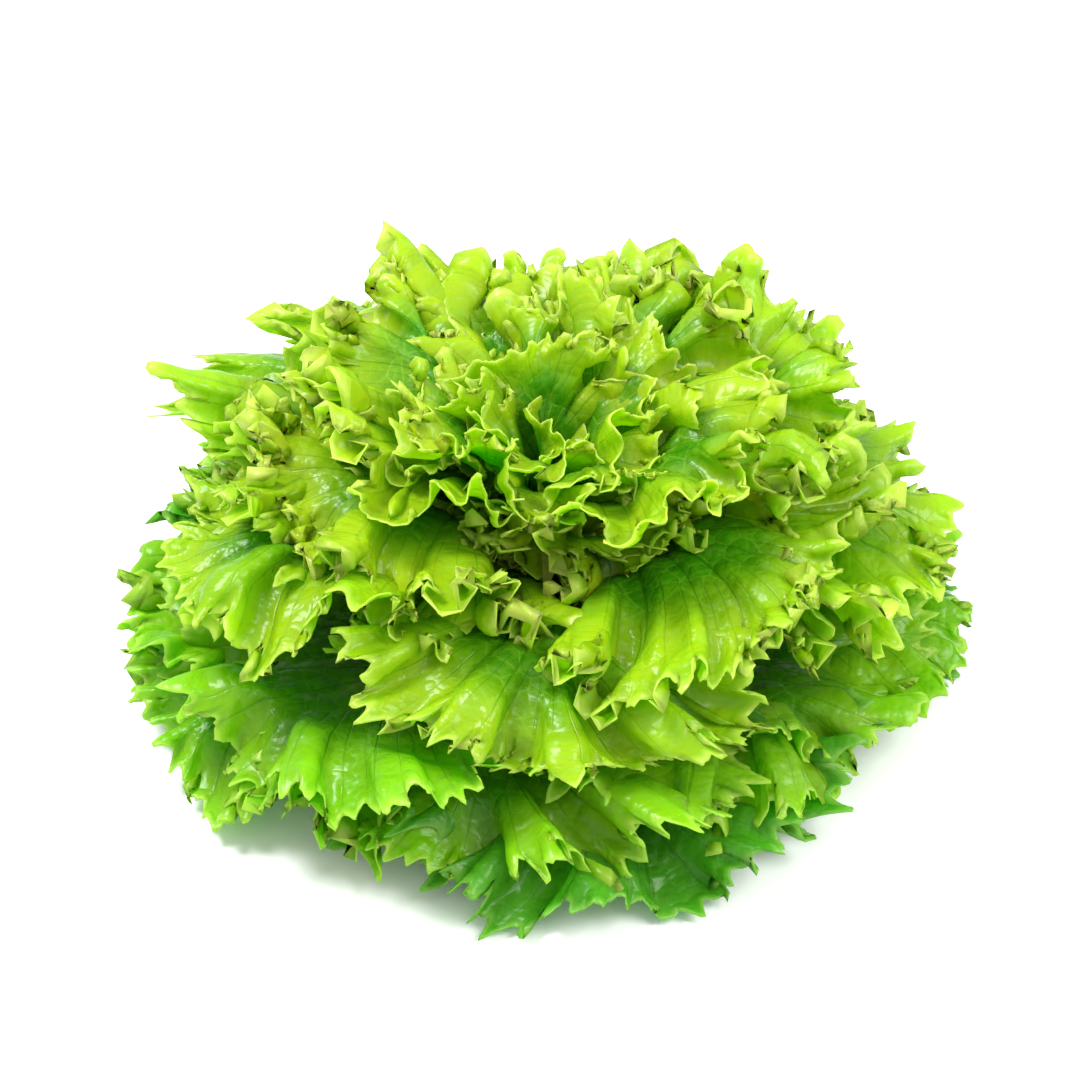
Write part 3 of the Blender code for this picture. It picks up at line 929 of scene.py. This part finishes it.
FINISHES = {
    Tone.OUTER: LeafFinish(
        "outer_leaf",
        foot=(0.36, 0.54, 0.14),
        blade=(0.045, 0.26, 0.012),
        light=(0.12, 0.43, 0.02),
        margin=(0.36, 0.64, 0.1),
        vein=(0.17, 0.44, 0.05),
        furrow_shade=(0.025, 0.17, 0.01),
        glow=(0.16, 0.68, 0.005),
        deep_glow=(0.08, 0.5, 0.005),
    ),
    Tone.MIDDLE: LeafFinish(
        "middle_leaf",
        foot=(0.36, 0.55, 0.1),
        blade=(0.08, 0.34, 0.005),
        light=(0.33, 0.57, 0.008),
        margin=(0.64, 0.76, 0.11),
        vein=(0.3, 0.58, 0.05),
        furrow_shade=(0.05, 0.23, 0.006),
        glow=(0.32, 0.94, 0.003),
        deep_glow=(0.1, 0.62, 0.002),
    ),
    Tone.HEAD: LeafFinish(
        "head_leaf",
        foot=(0.2, 0.5, 0.03),
        blade=(0.075, 0.35, 0.003),
        light=(0.48, 0.63, 0.008),
        margin=(0.76, 0.8, 0.15),
        vein=(0.38, 0.65, 0.05),
        furrow_shade=(0.06, 0.25, 0.005),
        glow=(0.49, 0.98, 0.003),
        deep_glow=(0.11, 0.66, 0.002),
    ),
    Tone.HEART: LeafFinish(
        "heart_leaf",
        foot=(0.18, 0.5, 0.03),
        blade=(0.08, 0.36, 0.003),
        light=(0.55, 0.67, 0.012),
        margin=(0.82, 0.83, 0.19),
        vein=(0.42, 0.67, 0.05),
        furrow_shade=(0.07, 0.27, 0.005),
        glow=(0.56, 0.98, 0.003),
        deep_glow=(0.12, 0.68, 0.002),
    ),
}


@dataclass
class Stem:
    """The cut butt that the leaves grow from."""

    foot_radius: float = 15 * MM
    top_radius: float = 8 * MM
    height: float = 46 * MM
    rim: float = 0.8 * MM

    def build(self) -> bpy.types.Object:
        """Turns the stem and rounds its rim."""
        deselect_all()
        bpy.ops.mesh.primitive_cone_add(
            vertices=64,
            radius1=self.foot_radius,
            radius2=self.top_radius,
            depth=self.height,
            location=(0, 0, self.height / 2),
        )
        stem = bpy.context.object
        stem.name = "cut_stem"
        bpy.ops.object.transform_apply(location=True, rotation=True, scale=True)
        edge = stem.modifiers.new("edge", "BEVEL")
        edge.width = self.rim
        edge.segments = 3
        edge.limit_method = "ANGLE"
        apply_modifiers(stem)
        bpy.ops.object.shade_smooth()
        return stem

    def material(self) -> bpy.types.Material:
        """Builds the cream flesh: a ring of bundles, a browned rim and a pale green side.

        Returns:
            A material that reads places in the stem.
        """
        material = bpy.data.materials.new("stem_cream")
        material.use_nodes = True
        bench = Bench(material.node_tree)
        bench.tree.nodes.clear()
        place = bench.put("ShaderNodeTexCoord").outputs["Object"]
        split = bench.put("ShaderNodeSeparateXYZ", {0: place}).outputs
        flat = bench.put("ShaderNodeCombineXYZ", {0: split["X"], 1: split["Y"]}).outputs[0]
        radius = bench.put("ShaderNodeVectorMath", {0: flat}, operation="LENGTH").outputs["Value"]
        radius = bench.math("DIVIDE", radius, self.foot_radius)
        patch = bench.noise(place, 260.0, detail=4.0, roughness=0.6)
        bundle = bench.step(bench.cells(flat, 600.0), 0.2, 0.45, 1.0, 0.0)
        outside = bench.step(radius, 0.76, 0.84, 1.0, 0.0)
        ring = bench.math("MULTIPLY", bench.step(radius, 0.6, 0.68), outside)
        pith = bench.mix(bench.step(radius, 0.2, 0.7), (0.7, 0.68, 0.42), (0.6, 0.62, 0.3))
        flesh = bench.mix(bench.math("MULTIPLY", bundle, ring), pith, (0.3, 0.26, 0.08))
        brown = bench.step(radius, 0.35, 1.0, 0.1, 0.9)
        brown = bench.math("MULTIPLY", brown, bench.step(patch, 0.35, 0.7))
        flesh = bench.mix(brown, flesh, (0.4, 0.2, 0.06))
        side = bench.step(split["Z"], 4 * MM, 20 * MM)
        side = bench.mix(side, (0.58, 0.62, 0.3), (0.36, 0.54, 0.14))
        cut = bench.step(split["Z"], 0.4 * MM, 1.2 * MM, 1.0, 0.0)
        rough = bench.math("SUBTRACT", 0.5, bench.math("MULTIPLY", cut, 0.2))
        grain = {"Height": patch, "Strength": 0.4, "Distance": 0.5 * MM}
        bump = bench.put("ShaderNodeBump", grain).outputs[0]
        shader = bench.put(
            "ShaderNodeBsdfPrincipled",
            {"Base Color": bench.mix(cut, side, flesh), "Roughness": rough, "Normal": bump},
        )
        bench.put("ShaderNodeOutputMaterial", {"Surface": shader.outputs[0]})
        return material

    def dress(self, stem: bpy.types.Object) -> None:
        """Gives the stem its cream finish and its place in the frame."""
        stem.data.materials.append(self.material())
        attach(stem, BODY)
        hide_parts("stem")


@dataclass
class Studio:
    """A plain pale floor, soft lights and the camera."""

    elevation: float = math.radians(38)
    distance: float = 1.05
    target: Sequence[float] = (0.0, 0.0, 0.042)
    seen_width: float = HEAD_WIDTH * PHOTO_PIXELS / HEAD_PIXELS
    floor_size: float = 30.0
    floor_drop: float = 0.2 * MM
    room_light: float = 0.9

    def floor(self) -> None:
        """Lays the floor."""
        deselect_all()
        bpy.ops.mesh.primitive_plane_add(size=self.floor_size, location=(0, 0, -self.floor_drop))
        floor = bpy.context.object
        floor.name = "floor"
        material = bpy.data.materials.new("floor")
        material.use_nodes = True
        shader = material.node_tree.nodes["Principled BSDF"]
        shader.inputs["Base Color"].default_value = (0.93, 0.93, 0.93, 1)
        shader.inputs["Roughness"].default_value = 0.8
        shader.inputs["Specular IOR Level"].default_value = 0.2
        floor.data.materials.append(material)

    def lights(self) -> None:
        """Hangs the soft lights and lights the room."""
        for name, place, size, power in (
            ("key", (-0.55, 0.15, 1.1), 0.48, 20.0),
            ("fill", (0.8, -0.3, 0.9), 0.65, 12.0),
        ):
            data = bpy.data.lights.new(name, "AREA")
            data.size = size
            data.energy = power
            light = bpy.data.objects.new(name, data)
            light.location = place
            aim = Vector(self.target) - light.location
            light.rotation_euler = aim.to_track_quat("-Z", "Y").to_euler()
            bpy.context.scene.collection.objects.link(light)
        world = bpy.data.worlds.new("room")
        world.use_nodes = True
        background = world.node_tree.nodes["Background"]
        background.inputs["Color"].default_value = (1, 1, 1, 1)
        background.inputs["Strength"].default_value = self.room_light
        bpy.context.scene.world = world
        bpy.context.scene.view_settings.view_transform = "Standard"

    def camera(self) -> None:
        """Sets the camera at the photograph's angle."""
        data = bpy.data.cameras.new("camera")
        data.sensor_width = 36
        data.lens = 36 * self.distance / self.seen_width
        camera = bpy.data.objects.new("camera", data)
        target = Vector(self.target)
        back = Vector((0, -math.cos(self.elevation), math.sin(self.elevation)))
        camera.location = target + back * self.distance
        camera.rotation_euler = (-back).to_track_quat("-Z", "Y").to_euler()
        bpy.context.scene.collection.objects.link(camera)
        bpy.context.scene.camera = camera


def columns_for(leaf: Leaf) -> int:
    """How many columns a leaf's blank needs, in even steps, so that few blanks are cut."""
    wanted = 2 * (leaf.length + leaf.half_width) / COLUMN_WIDTH
    return max(LEAST_COLUMNS, COLUMN_STEP * round(wanted / COLUMN_STEP))


def main() -> None:
    """Builds the head, the stem and the studio in order."""
    logging.basicConfig(level=logging.INFO, format="%(message)s")
    veins = vein_group()
    uppers = {tone: finish.material(veins) for tone, finish in FINISHES.items()}
    unders = {tone: finish.underside().material(veins) for tone, finish in FINISHES.items()}
    blanks: dict[int, tuple[Blank, bpy.types.Object]] = {}
    faces = 0
    for index in range(GROWTH.leaves + GROWTH.heart_leaves):
        leaf = Leaf.grown(index)
        columns = columns_for(leaf)
        if columns not in blanks:
            size = Blank(columns)
            blanks[columns] = (size, size.cut())
        blade = Blade(leaf)
        size, blank = blanks[columns]
        piece = blade.build(blank, size)
        blade.dress(piece, uppers[leaf.tone], unders[leaf.tone])
        triangles = sum(len(face.vertices) - 2 for face in piece.data.polygons)
        faces += triangles
        LOG.info("%s: %d columns, %d triangles", piece.name, columns, triangles)
    for _, blank in blanks.values():
        bpy.data.objects.remove(blank)
    stem = Stem()
    stem.dress(stem.build())
    LOG.info("all leaves: %d triangles", faces)
    studio = Studio()
    studio.floor()
    studio.lights()
    studio.camera()


if __name__ == "__main__":
    main()
